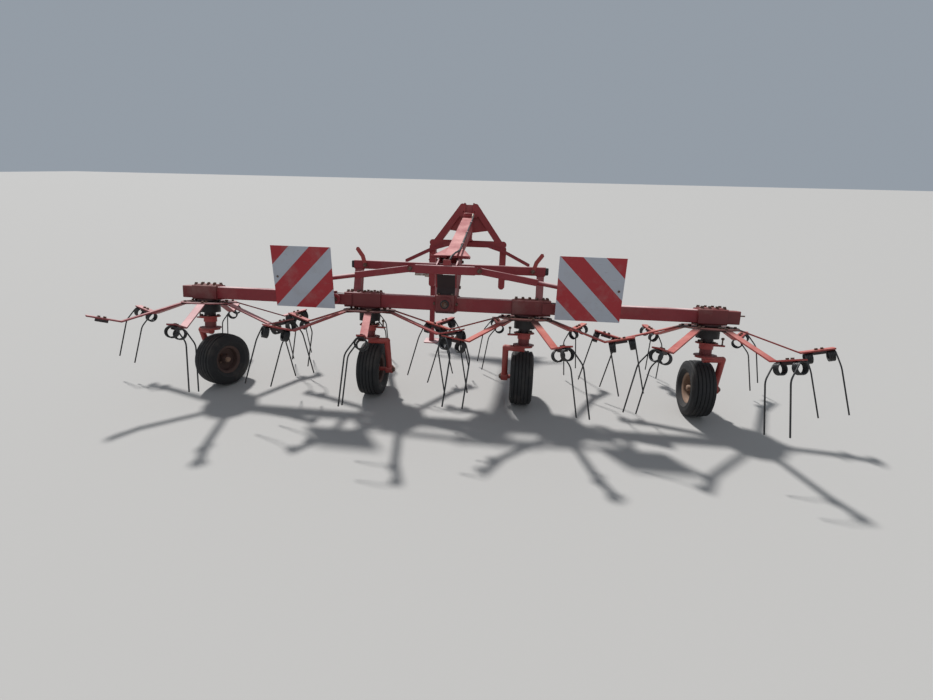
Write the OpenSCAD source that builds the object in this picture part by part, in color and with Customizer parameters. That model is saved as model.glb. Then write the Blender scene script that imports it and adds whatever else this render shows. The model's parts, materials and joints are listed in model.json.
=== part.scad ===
// Mounted four-rotor hay tedder in its working position, in millimetres.
// X runs across the machine, to the right as seen from behind, +Y is the way it travels, +Z is up.
// The whole frame leans forward with the rotors, so most of it is drawn in a leaned frame whose
// origin is on the rotor line at the height of the rotor discs.

/* [Rotor line] */
// Distance between the two inner rotor axes
inner_pitch = 1134; // [1100:1:1180]
// Distance from an inner rotor axis to the outer one beside it
outer_pitch = 1253; // [1220:1:1300]
// Height of the rotor discs above the ground
disc_h = 669; // [655:1:690]
// Forward lean of the rotors and the frame, in degrees
tilt = 11; // [9:0.5:12]

/* [Rotors] */
// Diameter of the disc that carries the arms
disc_d = 380; // [360:1:400]
// Thickness of the disc
disc_t = 8; // [6:1:10]
// Diameter of the hub drum below the disc
hub_d = 150; // [130:1:160]
// Height of the hub drum
hub_h = 70; // [50:1:80]
// Number of arms on a rotor
arm_count = 6; // [6:1:6]
// Width of an arm
arm_w = 50; // [40:1:60]
// Thickness of an arm
arm_t = 10; // [8:1:12]
// Radius at which an arm leaves the disc
arm_root_r = 195; // [185:1:205]
// Radius of the upward bend of an arm
arm_bend_r = 560; // [540:1:570]
// How far an arm drops from the disc to its bend
arm_drop = 119; // [100:1:130]
// Radius of an arm's end
arm_tip_r = 752; // [745:1:760]
// Slope of an arm beyond its bend, in degrees
arm_rise = 14; // [10:1:18]

/* [Tines] */
// Diameter of the spring wire
wire_d = 9.5; // [8:0.5:10]
// Outer diameter of a tine coil
coil_d = 78; // [70:1:84]
// Turns of a coil
coil_turns = 5; // [4:1:5]
// Distance between the middles of the two coils of a pair
coil_pitch = 130; // [120:1:140]
// Radius at which a pair of coils is clamped to its arm
clamp_r = 667; // [660:1:675]
// Length of a leg from its coil to its knee
knee_len = 105; // [90:1:120]
// How far the leg trails above its knee, in degrees from straight down
knee_trail = 35; // [25:1:45]
// Length of a leg below its knee
leg_len = 306; // [280:1:308]
// How far the leg trails below its knee, in degrees
leg_trail = 5; // [0:1:10]

/* [Beam and gearboxes] */
// Side of the square wing beams
beam_side = 90; // [80:1:100]
// Height of the beams' middle above the discs
beam_up = 75; // [72:1:80]
// Height of the centre beam's section
centre_beam_h = 100; // [90:1:110]
// How far a wing beam runs past its rotor axis
beam_end = 180; // [160:1:200]
// Width of a gearbox across the beam
gearbox_w = 124; // [116:1:130]
// Height of a gearbox
gearbox_h = 108; // [100:1:112]
// Half length of an outer gearbox
gearbox_half = 95; // [85:1:110]
// Diameter of a wheel stem, which the rotor turns on
stem_d = 80; // [70:1:84]
// Diameter of the index plate at a stem's foot
index_d = 150; // [140:1:160]

/* [Wing hinges] */
// Distance of a wing hinge from the middle
hinge_x = 800; // [790:1:805]
// Diameter of a hinge pin
hinge_pin_d = 30; // [25:1:35]
// Thickness of a hinge lug
lug_t = 12; // [10:1:15]
// Radius of a hinge lug's round end
lug_r = 38; // [34:1:40]
// Diameter of the drive coupling's cover
cover_d = 84; // [76:1:88]

/* [Fold linkage] */
// Half length of the centre tube that the fold links are pinned to
guide_half = 240; // [230:1:250]
// Height of the centre tube above the discs
guide_up = 315; // [305:1:325]
// Place of the centre tube behind the rotor line
guide_back = 112; // [105:1:116]
// Height of the tube's section
guide_h = 60; // [50:1:64]
// Height and depth of a fold link's sleeve
sleeve_side = 46; // [40:1:50]
// Length of a sleeve from its pin
sleeve_len = 400; // [380:1:410]
// Diameter of a fold rod
fold_rod_d = 30; // [26:1:34]
// Diameter of the pins at both ends of a fold link
fold_pin_d = 25; // [22:1:28]
// Place of a wing's fold pin outboard of its hinge
fold_pin_out = 60; // [55:1:65]
// Place of a wing's fold pin above its hinge
fold_pin_up = 143; // [138:1:150]

/* [Upper frame] */
// Half distance between the upright plates
upright_half = 65; // [60:1:70]
// Thickness of the upright plates
upright_t = 10; // [8:1:12]
// Half length of the cross tube
cross_half = 690; // [680:1:695]
// Side of the cross tube
cross_side = 62; // [55:1:70]
// Height of the cross tube above the discs
cross_up = 329; // [322:1:335]
// Place of the cross tube ahead of the rotor line
cross_fwd = 40; // [35:1:50]
// Width of the boom
boom_w = 90; // [80:1:100]
// Height of the boom's section
boom_h = 120; // [110:1:130]

/* [Headstock] */
// Distance of the headstock plane ahead of the rotor line
mast_fwd = 1295; // [1285:1:1305]
// Distance of the swivel axis behind the headstock plane
swivel_back = 90; // [86:1:95]
// Height of the lower link pins above the discs
link_up = 250; // [240:1:260]
// Height of the top link pin above the lower ones
mast_h = 610; // [600:1:620]
// Distance between the shoulders of the lower link pins
link_span = 825; // [815:1:835]
// Diameter of the lower link pins
link_pin_d = 28; // [28:1:28]
// Diameter of the top link's bore
top_bore_d = 25.5; // [25.5:0.5:26]
// Width and depth of the headstock's bars
mast_bar = 60; // [55:1:65]
// Half distance between the legs' middles
leg_half = 340; // [335:1:345]
// Side of the parking stand's tube
stand_side = 45; // [40:1:50]
// Side of the stand's foot plate
foot_side = 140; // [120:1:150]

/* [Warning panels] */
// Side of a square panel
panel_side = 423; // [400:1:430]
// Thickness of a panel
panel_t = 4; // [3:0.5:6]
// Distance of a panel's middle from the middle of the machine
panel_x = 971; // [971:1:980]
// Height of a panel's middle above the ground
panel_z = 934; // [930:1:945]
// Distance of a panel behind the rotor line
panel_back = 182; // [180:1:190]

/* [Wheels] */
// Diameter of a tyre
tyre_d = 406; // [400:1:406]
// Width of a tyre
tyre_w = 165; // [155:1:170]
// Diameter of the rim at the tyre's bead
rim_d = 204; // [196:1:210]
// Place of a wheel's axle ahead of the rotor line
axle_fwd = 10; // [0:1:20]
// Diameter of a wheel's axle
axle_d = 30; // [25:1:32]
// Diameter of a fork's tube
fork_d = 44; // [40:1:46]
// Gap between a tyre and the fork's tube above it
tyre_gap = 6; // [6:1:12]

/* [Hidden] */

$fn = 48;

// Gap between faces of different bodies that look closed
seat = 0.3;
// Gap between a shaft and its bore, on the radius
fit = 0.5;
// Depth by which pieces of one weldment run into each other
weld = 2;
// How much thicker a round bar is at a bend
bend_swell = 1.04;

// One row for each rotor: name, X of its axis, turning direction seen from above (1 is
// anticlockwise), angle of its first arm, side of its wheel fork, and its wheel's yaw.
inner_x = inner_pitch / 2;
outer_x = inner_x + outer_pitch;
ROTORS = [["left_outer", -outer_x, -1, 47, -1, -17],
          ["left_inner", -inner_x, 1, 43, 1, 0],
          ["right_inner", inner_x, -1, 49, -1, 0],
          ["right_outer", outer_x, 1, 49, 1, 0]];
// The arm that has lost its pair of tines: the row in ROTORS and the arm's number
LOST_TINES = [0, 3];

// Arms
arm_top = 1.5 - disc_t / 2;
arm_bend_w = arm_top - arm_drop;
arm_tip_w = arm_bend_w + (arm_tip_r - arm_bend_r) * tan(arm_rise);
hub_bore_d = stem_d + 2 * seat;

// Tines. A pair is drawn in its arm's end: X outwards along the arm, Y along the turning circle,
// Z up off the arm, with the origin under the arm at the clamp.
coil_r = coil_d / 2;
coil_len = coil_turns * wire_d;
wire_r = coil_r - wire_d / 2;
arm_under = arm_t;
clamp_w = arm_bend_w + (clamp_r - arm_bend_r) * tan(arm_rise) - arm_under / cos(arm_rise);
clamp_len = coil_pitch - coil_len - 10;
clamp_deep = wire_d + 10;

// Leaned frame and back: a point [v, w] of the leaned frame as Y and Z above the ground
function lean_y(v, w) = v * cos(tilt) + w * sin(tilt);
function lean_z(v, w) = disc_h - v * sin(tilt) + w * cos(tilt);
function unlean_v(y, z) = y * cos(tilt) - (z - disc_h) * sin(tilt);
function unlean_w(y, z) = y * sin(tilt) + (z - disc_h) * cos(tilt);

// Three points of a leg from its coil's middle: start, knee and tip, for a rotor turning turn
function leg_points(turn, out) =
    let (start = [out * coil_len / 2 - out * wire_d / 2, -turn * wire_r * cos(knee_trail),
                  wire_r * sin(knee_trail)],
         knee = start + knee_len * [0, -turn * sin(knee_trail), -cos(knee_trail)],
         tip = knee + leg_len * [0, -turn * sin(leg_trail), -cos(leg_trail)])
    [start, knee, tip];
// Radius, sideways place and height of a tine's tip, for the inner (-1) and outer (1) coil
function tip_place(turn, out) =
    let (tip = leg_points(turn, out)[2] + [out * coil_pitch / 2, 0, -coil_r - seat])
    [clamp_r + tip[0] * cos(arm_rise) - tip[2] * sin(arm_rise), tip[1],
     clamp_w + tip[0] * sin(arm_rise) + tip[2] * cos(arm_rise)];
function arm_angle(rotor, arm) = rotor[3] + arm * 360 / arm_count;
function has_tines(row, arm) = !(row == LOST_TINES[0] && arm == LOST_TINES[1]);
TIPS = [for (row = [0 : 3], arm = [0 : arm_count - 1], out = [-1, 1]) if (has_tines(row, arm))
        let (rotor = ROTORS[row], a = arm_angle(rotor, arm), tip = tip_place(rotor[2], out),
             v = tip[0] * sin(a) + tip[1] * cos(a))
        [rotor[1] + tip[0] * cos(a) - tip[1] * sin(a), lean_y(v, tip[2])]];

// Wheels
tyre_r = tyre_d / 2;
axle_v = unlean_v(axle_fwd, tyre_r);
axle_w = unlean_w(axle_fwd, tyre_r);
index_t = 8;
fork_plate_t = 12;
fork_tube_w = axle_w + tyre_r + tyre_gap + fork_d / 2;
fork_plate_top = fork_tube_w + fork_d / 2 - 8 + fork_plate_t;
// Depth of a stem's lower end below the disc
stem_drop = -fork_plate_top - seat - index_t;
fork_side = tyre_w / 2 + 22 + fork_d / 2;

// Headstock
swivel_fwd = mast_fwd - swivel_back;
top_pin_w = link_up + mast_h;
top_plate_fwd = mast_fwd + 80;
knee_w = 518;
foot_w = link_up - 85;
swivel_low = 600;
swivel_high = 800;
swivel_d = 90;
swivel_pin_d = 50;
ear_t = 16;
stand_wall = 7;
stand_outer = stand_side + 2 * stand_wall;
stand_fwd = mast_fwd + mast_bar / 2 + stand_outer / 2;
stand_up = link_up + 70;
stand_sleeve_h = 150;

// Fold linkage
fold_pin_x = hinge_x + fold_pin_out;
fold_pin_w = beam_up + fold_pin_up;
link_run = fold_pin_x - guide_half;
link_fall = guide_up - fold_pin_w;
link_len = sqrt(link_run * link_run + link_fall * link_fall);
link_angle = atan2(link_fall, link_run);

// Clear width for a sleeve between the two ears of the centre tube, and the ears' thickness
ear_gap = sleeve_side + 12;
fold_ear_t = 8;
guide_deep = ear_gap + 2 * fold_ear_t;
eye_deep = 34;

// Gearboxes
gearbox_top = beam_up + gearbox_h / 2 + 6;
inner_gearbox_end = hinge_x - 60;
centre_top = beam_up + 65;

// Middle of the machine's length and width, which is where the origin goes
front_y = lean_y(top_plate_fwd, top_pin_w + 30);
rear_y = min([for (tip = TIPS) tip[1]]) - wire_d / 2;
mid_y = (front_y + rear_y) / 2;
mid_x = (max([for (tip = TIPS) tip[0]]) + min([for (tip = TIPS) tip[0]])) / 2;

// Route of the pressure hose along the boom's right side, in the leaned frame
HOSE = [[53, 1120, 800], [56, 1060, 765], [56, 960, 730], [56, 860, 694], [56, 760, 658],
        [56, 660, 622], [56, 560, 586], [56, 460, 550], [57, 360, 514], [58, 260, 482],
        [57, 190, 462], [52, 130, 450], [40, 70, 437], [24, 10, 412], [14, -46, 376],
        [12, -88, 352], [12, -120, 352]];
hose_d = 14;

module placed() {
    translate([-mid_x, -mid_y, 0]) children();
}

module leaned() {
    placed() translate([0, 0, disc_h]) rotate([-tilt, 0, 0]) children();
}

// Puts a right-hand piece on the side that side names
module on_side(side) {
    leaned() mirror([side < 0 ? 1 : 0, 0, 0]) children();
}

module at_rotor(rotor) {
    leaned() translate([rotor[1], 0, 0]) children();
}

// Rectangle with round corners, centred
module rounded_rect(size, r) {
    square([size[0] - 2 * r, size[1]], center = true);
    square([size[0], size[1] - 2 * r], center = true);
    for (x = [-1, 1], y = [-1, 1]) translate([x * (size[0] / 2 - r), y * (size[1] / 2 - r)]) circle(r);
}

// Bar with round corners along X from x0 to x1, deep along Y and high along Z
module cross_bar(x0, x1, deep, high, r = 8) {
    translate([x0, 0, 0]) rotate([90, 0, 90]) linear_extrude(x1 - x0) rounded_rect([deep, high], r);
}

// Flat strip between two points, with round ends
module strip(p, q, wide) {
    run = q - p;
    translate(p) rotate(atan2(run[1], run[0])) translate([0, -wide / 2]) square([norm(run), wide]);
    for (end = [p, q]) translate(end) circle(wide / 2);
}

// Round rod between two points in space
module rod(p, q, d) {
    run = q - p;
    translate(p) rotate([0, acos(run[2] / norm(run)), atan2(run[1], run[0])])
        cylinder(d = d, h = norm(run), $fn = 20);
}

// Outline drawn in Y and Z, made thick along X from x0 to x1
module side_plate(x0, x1) {
    translate([x0, 0, 0]) rotate([90, 0, 90]) linear_extrude(x1 - x0) children();
}

// Outline drawn in X and Z, made thick along Y from y0 to y1
module face_plate(y0, y1) {
    translate([0, y1, 0]) rotate([90, 0, 0]) linear_extrude(y1 - y0) children();
}

module centre_beam() {
    gearbox_inner = inner_x - gearbox_half;
    color("firebrick") leaned() translate([0, 0, beam_up])
        for (side = [-1, 1]) mirror([side < 0 ? 1 : 0, 0, 0])
            cross_bar(upright_half + upright_t, gearbox_inner, beam_side, centre_beam_h);
}

module centre_gearbox() {
    rear = -85;
    color("firebrick") leaned() {
        translate([0, 0, beam_up]) cross_bar(-upright_half, upright_half, -2 * rear, 2 * (centre_top - beam_up), 12);
        translate([0, rear + weld, beam_up]) rotate([90, 0, 0]) cylinder(d = 96, h = 12);
        translate([0, rear, beam_up]) rotate([90, 0, 0]) cylinder(d = 60, h = 18);
        translate([0, -rear - weld, beam_up]) rotate([-90, 0, 0]) cylinder(d = 110, h = 37);
    }
}

module pto_stub() {
    color("dimgray") leaned() translate([0, 120, beam_up]) rotate([-90, 0, 0]) {
        cylinder(d = 60, h = 14);
        cylinder(d = 35, h = 90);
    }
}

// Housing round one rotor's bevel gears, with its flange, its cover and the wheel stem below it
module gearbox(x0, x1) {
    low = beam_up - gearbox_h / 2;
    translate([0, 0, beam_up]) cross_bar(x0, x1, gearbox_w, gearbox_h, 12);
    translate([0, 0, gearbox_top - 8]) cross_bar(x0 + 14, x1 - 14, gearbox_w - 18, 16, 6);
    translate([0, 0, disc_t / 2 + 6]) cylinder(d = gearbox_w + 30, h = low - disc_t / 2 - 6 + weld);
    translate([0, 0, -stem_drop]) cylinder(d = stem_d, h = stem_drop + low);
    translate([0, 0, -stem_drop - index_t]) cylinder(d = index_d, h = index_t);
}

module inner_gearboxes() {
    color("brown") for (side = [-1, 1]) on_side(side) translate([inner_x, 0, 0])
        gearbox(-gearbox_half, inner_gearbox_end - inner_x);
    inner = gearbox_w / 2 - weld;
    outer = gearbox_w / 2 + lug_t;
    color("brown") for (side = [-1, 1]) on_side(side) for (face = [-1, 1]) {
        face_plate(min(face * inner, face * outer), max(face * inner, face * outer)) {
            translate([hinge_x, beam_up]) circle(lug_r);
            translate([hinge_x - 120, beam_up - lug_r]) square([120, 2 * lug_r]);
        }
        translate([hinge_x, face * (outer - weld), beam_up]) rotate([-face * 90, 0, 0])
            cylinder(d = hinge_pin_d, h = lug_t + 10);
    }
}

module coupling_covers() {
    long = hinge_x - inner_gearbox_end - seat;
    r = cover_d / 2;
    color("black") for (side = [-1, 1]) on_side(side)
        translate([inner_gearbox_end + seat, 0, beam_up]) rotate([0, 90, 0]) rotate_extrude()
            polygon([[0, 0], [r, 0], [r, long], [r * 0.92, long + r * 0.38],
                     [r * 0.71, long + r * 0.71], [r * 0.38, long + r * 0.92], [0, long + r]]);
}

module upright_plates() {
    guide_face = -guide_back + guide_deep / 2;
    low = beam_up - centre_beam_h / 2 - 8;
    top = cross_up + 71;
    color("firebrick") leaned() difference() {
        union() {
            for (side = [-1, 1]) mirror([side < 0 ? 1 : 0, 0, 0])
                side_plate(upright_half, upright_half + upright_t)
                    polygon([[-62, low], [70, low], [90, centre_top], [130, 190], [240, 330], [240, top],
                             [60, top], [guide_face, guide_up + 34], [guide_face, guide_up - 34],
                             [-45, 190], [-62, centre_top]]);
            side_plate(-upright_half - weld, upright_half + weld)
                polygon([[-62, centre_top + 1], [-52, centre_top + 1], [-36, 190],
                         [guide_face + 10, guide_up - 34], [guide_face, guide_up - 34], [-45, 190]]);
        }
        translate([0, cross_fwd, cross_up]) cross_bar(-cross_half, cross_half, cross_side, cross_side);
    }
}

module guide_tube() {
    color("firebrick") leaned() translate([0, -guide_back, guide_up]) {
        cross_bar(35 - guide_half, guide_half - 35, guide_deep, guide_h);
        for (side = [-1, 1], face = [-1, 1]) {
            middle = face * (guide_deep - fold_ear_t) / 2;
            face_plate(middle - fold_ear_t / 2, middle + fold_ear_t / 2)
                strip([side * (guide_half - 60), 0], [side * guide_half, 0], guide_h - 8);
        }
        for (side = [-1, 1]) translate([side * guide_half, guide_deep / 2 + 8, 0]) rotate([90, 0, 0])
            cylinder(d = fold_pin_d, h = guide_deep + 16);
    }
}

module cross_tube() {
    color("firebrick") leaned() {
        translate([0, cross_fwd, cross_up]) {
            cross_bar(-cross_half, cross_half, cross_side, cross_side);
        }
        for (side = [-1, 1]) mirror([side < 0 ? 1 : 0, 0, 0])
            side_plate(cross_half - 58, cross_half - 8)
                polygon([[-30, gearbox_top], [40, gearbox_top], [cross_fwd + 28, cross_up - 20],
                         [cross_fwd - 28, cross_up - 20]]);
    }
}

module lock_hooks() {
    color("indianred") for (side = [-1, 1]) on_side(side) {
        translate([0, cross_fwd - cross_side / 2 - 8.3, cross_up]) face_plate(-4, 4)
            polygon([[584, -22], [612, -22], [636, 52], [674, 104], [667, 122], [652, 122], [610, 66]]);
        translate([602, cross_fwd - cross_side / 2, cross_up - 4]) rotate([90, 0, 0])
            cylinder(d = 18, h = 20);
    }
}

module boom() {
    p = [150, 366];
    q = [swivel_fwd - 30, (swivel_low + swivel_high) / 2 + 30];
    color("indianred") leaned() {
        difference() {
            union() {
                side_plate(-boom_w / 2, boom_w / 2) {
                    run = q - p;
                    translate(p) rotate(atan2(run[1], run[0])) translate([-20, -boom_h / 2])
                        square([norm(run) + 20, boom_h]);
                }
                translate([0, swivel_fwd, swivel_low]) cylinder(d = swivel_d, h = swivel_high - swivel_low);
            }
            translate([0, swivel_fwd, swivel_low - 1])
                cylinder(d = swivel_pin_d + 2 * fit, h = swivel_high - swivel_low + 2);
        }
        for (side = [-1, 1]) mirror([side < 0 ? 1 : 0, 0, 0])
            translate([0, 0, cross_up + 71]) linear_extrude(10) polygon([[20, 40], [138, 70], [138, 120], [boom_w / 2 - weld, 420], [20, 420]]);
    }
}

// Tube of sides faces swept along points, with rings square to the way they run
module swept_tube(points, d, sides) {
    count = len(points);
    ways = [for (i = [0 : count - 1])
            let (run = points[min(i + 1, count - 1)] - points[max(i - 1, 0)]) run / norm(run)];
    rings = [for (i = [0 : count - 1])
             let (side = cross(ways[i], [0, 0, 1]), s = side / norm(side), u = cross(s, ways[i]))
             for (k = [0 : sides - 1])
             points[i] + d / 2 * (cos(360 * k / sides) * s + sin(360 * k / sides) * u)];
    polyhedron(rings, concat(
        [[for (k = [0 : sides - 1]) k]],
        [[for (k = [sides - 1 : -1 : 0]) (count - 1) * sides + k]],
        [for (i = [0 : count - 2], k = [0 : sides - 1])
         [i * sides + k, (i + 1) * sides + k, (i + 1) * sides + (k + 1) % sides,
          i * sides + (k + 1) % sides]]));
}

module pressure_hose() {
    color("black") leaned() swept_tube(HOSE, hose_d, 10);
}

module headstock_frame() {
    half_top = 62;
    color("indianred") leaned() {
        translate([0, mast_fwd, 0]) face_plate(-mast_bar / 2, mast_bar / 2) for (side = [-1, 1]) {
            strip([side * half_top, top_pin_w + 40], [side * leg_half, knee_w], mast_bar);
            strip([side * leg_half, knee_w], [side * leg_half, foot_w], mast_bar);
        }
        translate([0, mast_fwd, 0]) face_plate(-mast_bar / 2, mast_bar / 2)
            strip([-leg_half, swivel_low - 40], [leg_half, swivel_low - 40], mast_bar);
        for (w = [swivel_low - ear_t - 2, swivel_high + 2]) translate([0, 0, w]) linear_extrude(ear_t) {
            translate([0, swivel_fwd]) circle(swivel_d / 2);
            translate([-swivel_d / 2, swivel_fwd]) square([swivel_d, mast_fwd - swivel_fwd]);
        }
        translate([0, swivel_fwd, swivel_low - ear_t - 10])
            cylinder(d = swivel_pin_d, h = swivel_high - swivel_low + 2 * ear_t + 20);
        translate([0, mast_fwd, 0]) face_plate(-mast_bar / 2, mast_bar / 2)
            strip([-half_top, swivel_high + 24], [half_top, swivel_high + 24], 50);
        difference() {
            for (side = [-1, 1]) mirror([side < 0 ? 1 : 0, 0, 0]) side_plate(36, 50)
                translate([mast_fwd - 30, 0]) polygon([[0, swivel_high + 20], [40, swivel_high + 20],
                    [110, top_pin_w - 30], [110, top_pin_w + 30], [80, top_pin_w + 75], [0, top_pin_w + 75]]);
            translate([-60, mast_fwd + 45, top_pin_w]) rotate([0, 90, 0]) cylinder(d = top_bore_d, h = 120);
        }
    }
}

module arch_bar() {
    y0 = mast_fwd - mast_bar / 2 - 26;
    apex_w = 558;
    end_w = 372;
    path = [[-600, end_w], [-leg_half, 500], [-150, apex_w], [150, apex_w], [leg_half, 500],
            [600, end_w]];
    count = len(path);
    color("firebrick") leaned() face_plate(y0, y0 + 26)
        polygon([for (i = [0 : 2 * count - 1])
                 i < count ? path[i] + [0, 17] : path[2 * count - 1 - i] - [0, 17]]);
}

module lower_link_pins() {
    color("silver") leaned() for (side = [-1, 1]) mirror([side < 0 ? 1 : 0, 0, 0])
        translate([leg_half + mast_bar / 2, mast_fwd, link_up]) rotate([0, 90, 0]) {
            cylinder(d = 52, h = link_span / 2 - leg_half - mast_bar / 2);
            cylinder(d = link_pin_d, h = link_span / 2 - leg_half - mast_bar / 2 + 100);
        }
}

module stand_sleeve() {
    color("indianred") leaned() translate([-leg_half, stand_fwd, stand_up]) difference() {
        linear_extrude(stand_sleeve_h) rounded_rect([stand_outer, stand_outer], 6);
        translate([0, 0, -1]) linear_extrude(stand_sleeve_h + 2)
            square(stand_side + 2 * fit, center = true);
    }
}

// The stand is parallel to the headstock, and its foot plate lies flat on the ground
module stand_leg() {
    foot_t = 8;
    foot_w = (foot_t - disc_h + stand_fwd * sin(tilt)) / cos(tilt);
    foot_y = lean_y(stand_fwd, foot_w);
    color("indianred") {
        difference() {
            leaned() translate([-leg_half, stand_fwd, foot_w - 40])
                linear_extrude(stand_up + stand_sleeve_h + 70 - foot_w) square(stand_side, center = true);
            placed() translate([-leg_half, foot_y, foot_t / 2 - 100]) cube([200, 200, 200], center = true);
        }
        placed() translate([-leg_half, foot_y, 0]) linear_extrude(foot_t)
            rounded_rect([foot_side, foot_side], 15);
    }
}

module wing_beam() {
    inner_end = hinge_x + cover_d / 2 + 26;
    lug_in = gearbox_w / 2 + lug_t + 1.5;
    fold_lug_back = guide_back - eye_deep / 2 - 0.5;
    color("indianred") {
        translate([0, 0, beam_up]) cross_bar(inner_end, outer_x - gearbox_half, beam_side, beam_side);
        translate([0, 0, beam_up])
            cross_bar(inner_end - 20, inner_end + weld, 2 * (lug_in + lug_t + 2), beam_side + 10, 6);
        difference() {
            for (face = [-1, 1]) face_plate(min(face * lug_in, face * (lug_in + lug_t)),
                                            max(face * lug_in, face * (lug_in + lug_t))) {
                translate([hinge_x, beam_up]) circle(lug_r);
                translate([hinge_x, beam_up - lug_r]) square([inner_end - hinge_x, 2 * lug_r]);
            }
            translate([hinge_x, gearbox_w, beam_up]) rotate([90, 0, 0])
                cylinder(d = hinge_pin_d + 2 * fit, h = 2 * gearbox_w);
        }
        face_plate(-fold_lug_back, -fold_lug_back + 10)
            strip([fold_pin_x, fold_pin_w], [inner_end - 8, beam_up + 32], 56);
    }
}

module outer_gearbox() {
    color("brown") translate([outer_x, 0, 0]) {
        gearbox(-gearbox_half, gearbox_half);
        translate([0, 0, beam_up]) cross_bar(gearbox_half - weld, beam_end, beam_side, beam_side);
    }
}

// Arm back from the wing beam and the post that the panel is bolted to, upright as the panel is
module panel_bracket(side) {
    post_t = 8;
    post_y = -panel_back + panel_t / 2;
    arm_z = lean_z(-beam_side / 2, beam_up);
    color("indianred") difference() {
        placed() mirror([side < 0 ? 1 : 0, 0, 0]) {
            translate([panel_x - 25, post_y, arm_z - 30]) cube([50, post_t, panel_side * 0.62]);
            translate([panel_x - 25, post_y, arm_z - 6]) cube([50, panel_back, 12]);
        }
        leaned() translate([-outer_x, -beam_side / 2, beam_up - 150]) cube([2 * outer_x, 400, 300]);
    }
}

// The panel stands upright on the leaned frame
module panel(side) {
    color("white") placed() translate([side * panel_x, -panel_back, panel_z])
        cube([panel_side, panel_t, panel_side], center = true);
}

module fold_frame() {
    translate([guide_half, -guide_back, guide_up]) rotate([0, link_angle, 0]) children();
}

module fold_sleeve() {
    color("firebrick") fold_frame() difference() {
        union() {
            cross_bar(14, sleeve_len, sleeve_side, sleeve_side, 5);
            translate([0, sleeve_side / 2, 0]) rotate([90, 0, 0]) cylinder(d = 50, h = sleeve_side);
        }
        translate([0, sleeve_side, 0]) rotate([90, 0, 0])
            cylinder(d = fold_pin_d + 2 * fit, h = 2 * sleeve_side);
        translate([40, 0, 0]) rotate([0, 90, 0]) cylinder(d = fold_rod_d + 2 * fit, h = sleeve_len);
    }
}

module fold_rod() {
    color("silver") fold_frame() {
        translate([link_len - 380, 0, 0]) rotate([0, 90, 0]) cylinder(d = fold_rod_d, h = 360);
        translate([link_len, eye_deep / 2, 0]) rotate([90, 0, 0]) cylinder(d = 52, h = eye_deep);
    }
}

// Bent flat arm along X, drawn as its side outline
module arm() {
    root = [hub_d / 2 - weld, arm_top];
    knee = [arm_root_r, arm_top];
    bend = [arm_bend_r, arm_bend_w];
    tip = [arm_tip_r, arm_tip_w];
    down = [0, -arm_t];
    translate([0, arm_w / 2, 0]) rotate([90, 0, 0]) linear_extrude(arm_w)
        polygon([root, knee, bend, tip, tip + down, bend + down, knee + down, root + down]);
}

module arm_end() {
    translate([clamp_r, 0, clamp_w]) rotate([0, -arm_rise, 0]) children();
}

// Clamp that holds the wire between the two coils of a pair under the arm
module tine_clamp() {
    arm_end() difference() {
        translate([-clamp_len / 2, -18, -clamp_deep]) cube([clamp_len, 36, clamp_deep + 1]);
        translate([-clamp_len, 0, -seat - wire_d / 2]) rotate([0, 90, 0])
            cylinder(d = wire_d + 2 * seat, h = 2 * clamp_len, $fn = 20);
    }
}

module rotor(row) {
    r = ROTORS[row];
    color("indianred") at_rotor(r) difference() {
        union() {
            translate([0, 0, -disc_t / 2]) cylinder(d = disc_d, h = disc_t, $fn = 96);
            translate([0, 0, -disc_t / 2 - hub_h]) cylinder(d = hub_d, h = hub_h + weld);
            for (arm = [0 : arm_count - 1]) rotate(arm_angle(r, arm)) {
                arm();
                tine_clamp();
            }
        }
        translate([0, 0, -hub_h - disc_t]) cylinder(d = hub_bore_d, h = hub_h + 3 * disc_t);
    }
}

// Coil round X from its middle: a revolve with one bump for each turn, open through its middle
module coil() {
    low = wire_d * 0.26;
    inner_r = coil_r - wire_d;
    outer = [for (i = [0 : coil_turns - 1], p = [[low, 0], [0, 0.3], [0, 0.7]])
             [coil_r - p[0], (i + p[1]) * wire_d]];
    inner = [for (i = [coil_turns - 1 : -1 : 0], p = [[0, 0.7], [0, 0.3], [low, 0]])
             [inner_r + p[0], (i + p[1]) * wire_d]];
    translate([-coil_len / 2, 0, 0]) rotate([0, 90, 0]) rotate_extrude($fn = 32)
        polygon(concat(outer, [[coil_r - low, coil_len], [inner_r + low, coil_len]], inner));
}

module tine_pair(turn) {
    arm_end() translate([0, 0, -coil_r - seat]) {
        for (out = [-1, 1]) translate([out * coil_pitch / 2, 0, 0]) {
            leg = leg_points(turn, out);
            coil();
            rod(leg[0], leg[1], wire_d);
            translate(leg[1]) sphere(d = wire_d * bend_swell, $fn = 20);
            rod(leg[1], leg[2], wire_d);
        }
        translate([-coil_pitch / 2 + coil_len / 2 - 3, 0, coil_r - wire_d / 2]) rotate([0, 90, 0])
            cylinder(d = wire_d, h = coil_pitch - coil_len + 6, $fn = 20);
    }
}

module tines(row) {
    r = ROTORS[row];
    color("black") at_rotor(r) for (arm = [0 : arm_count - 1]) if (has_tines(row, arm))
        rotate(arm_angle(r, arm)) tine_pair(r[2]);
}

module at_wheel(rotor) {
    at_rotor(rotor) rotate(rotor[5]) translate([0, axle_v, axle_w]) children();
}

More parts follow.
